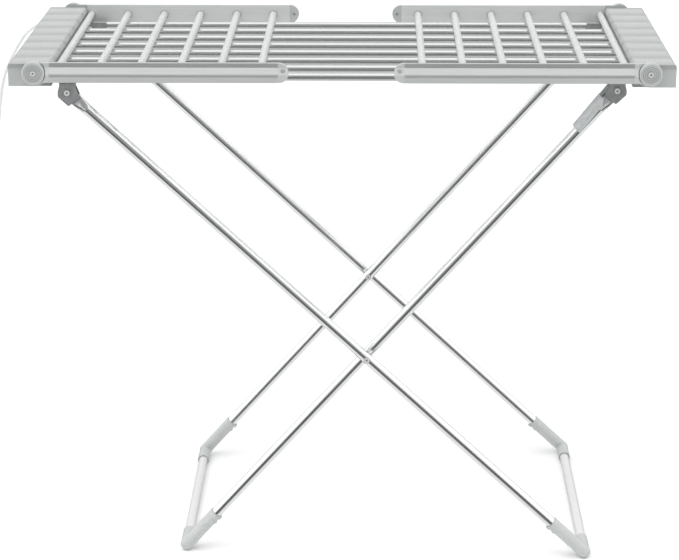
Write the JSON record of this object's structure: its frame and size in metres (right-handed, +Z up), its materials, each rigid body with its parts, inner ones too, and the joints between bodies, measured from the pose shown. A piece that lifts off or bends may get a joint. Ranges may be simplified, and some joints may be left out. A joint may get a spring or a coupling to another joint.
{
  "type": "clothes drying rack",
  "caption": "Folding electric clothes airer: a deck of heated rods between end housings, two fold-out wings and crossed folding legs.",
  "frame": {"origin": "on the floor, under the middle of the deck", "axes": "+X along the rods to the right as seen from the front, -Y to the front, +Z up"},
  "size_m": [1.4193, 0.532, 0.93],
  "materials": {
    "housing_grey": "satin moulded plastic",
    "tray_grey": "satin moulded plastic",
    "screw_steel": "zinc-plated screws",
    "bright_rod": "bright drawn tube",
    "bush_grey": "satin moulded plastic",
    "wire_silicone": "silicone-sleeved heating wire",
    "bracket_grey": "satin moulded plastic",
    "clip_grey": "satin moulded plastic",
    "lead_white": "pale flexible sheath",
    "pin_brass": "plated brass",
    "rail_satin": "satin anodised extrusion",
    "bar_white": "pale satin coating",
    "cap_grey": "satin moulded plastic",
    "leg_bright": "bright anodised tube",
    "elbow_grey": "satin moulded plastic",
    "foot_white": "white coating"
  },
  "bodies": {
    "deck": {"right_housing_cover": "housing_grey", "left_housing_cover": "housing_grey", "right_housing_tray": "tray_grey", "left_housing_tray": "tray_grey", "housing_screws": "screw_steel", "heated_rod_1": "bright_rod", "heated_rod_2": "bright_rod", "heated_rod_3": "bright_rod", "heated_rod_4": "bright_rod", "heated_rod_5": "bright_rod", "heated_rod_6": "bright_rod", "heated_rod_7": "bright_rod", "heated_rod_8": "bright_rod", "rod_bushes": "bush_grey", "heating_wires": "wire_silicone", "link_wires": "wire_silicone", "terminal_block": "tray_grey", "thermal_cutout": "tray_grey", "hinge_screws": "screw_steel", "fixed_bracket_front": "bracket_grey", "fixed_bracket_back": "bracket_grey", "fixed_bracket_screws": "screw_steel", "strain_relief": "lead_white", "mains_lead": "lead_white", "lead_coil": "lead_white", "plug_body": "lead_white", "plug_pins": "pin_brass"},
    "left_wing": {"left_front_rail": "rail_satin", "left_back_rail": "rail_satin", "left_wing_bars": "bar_white", "left_bar_collars": "bush_grey", "left_end_caps": "cap_grey", "left_cap_screws": "screw_steel", "left_hinge_knuckles": "cap_grey", "left_hinge_discs": "cap_grey"},
    "right_wing": {"right_front_rail": "rail_satin", "right_back_rail": "rail_satin", "right_wing_bars": "bar_white", "right_bar_collars": "bush_grey", "right_end_caps": "cap_grey", "right_cap_screws": "screw_steel", "right_hinge_knuckles": "cap_grey", "right_hinge_discs": "cap_grey"},
    "outer_leg": {"outer_leg_tube_front": "leg_bright", "outer_leg_tube_back": "leg_bright", "outer_leg_elbow_front": "elbow_grey", "outer_leg_elbow_back": "elbow_grey", "outer_leg_foot_tube": "foot_white", "outer_leg_rivets": "screw_steel"},
    "slider": {"sliding_bracket_front": "bracket_grey", "sliding_bracket_back": "bracket_grey", "sliding_bracket_screws": "screw_steel"},
    "inner_leg": {"inner_leg_tube_front": "leg_bright", "inner_leg_tube_back": "leg_bright", "inner_leg_elbow_front": "elbow_grey", "inner_leg_elbow_back": "elbow_grey", "inner_leg_foot_tube": "foot_white", "inner_leg_rivets": "screw_steel"},
    "lock": {"lock_clip": "clip_grey"}
  },
  "joints": [
    {"name": "left_wing_hinge", "type": "hinge", "parent": "deck", "child": "left_wing", "pos_m": [-0.526, 0, 0.91], "axis": [0, -1, 0], "range_deg": [0, 141.8]},
    {"name": "right_wing_hinge", "type": "hinge", "parent": "deck", "child": "right_wing", "pos_m": [0.526, 0, 0.91], "axis": [0, 1, 0], "range_deg": [0, 141.8]},
    {"name": "bracket_slide", "type": "slide", "parent": "deck", "child": "slider", "axis": [-1, 0, 0], "range_m": [0, 0.8851]},
    {"name": "inner_leg_fold", "type": "hinge", "parent": "slider", "child": "inner_leg", "pos_m": [0.4737, 0, 0.874], "axis": [0, -1, 0], "range_deg": [0, 131.34]},
    {"name": "outer_leg_fold", "type": "hinge", "parent": "deck", "child": "outer_leg", "pos_m": [-0.4704, 0, 0.874], "axis": [0, -1, 0], "range_deg": [0, 43.31]},
    {"name": "lock_slide", "type": "slide", "parent": "inner_leg", "child": "lock", "axis": [-0.6619, 0, -0.7496], "range_m": [0, 0.04]}
  ],
  "couplings": [
    {"joint": "outer_leg_fold", "follows": "inner_leg_fold", "ratio": 0.32971},
    {"joint": "bracket_slide", "follows": "inner_leg_fold", "m_per_rad": 0.3857}
  ]
}
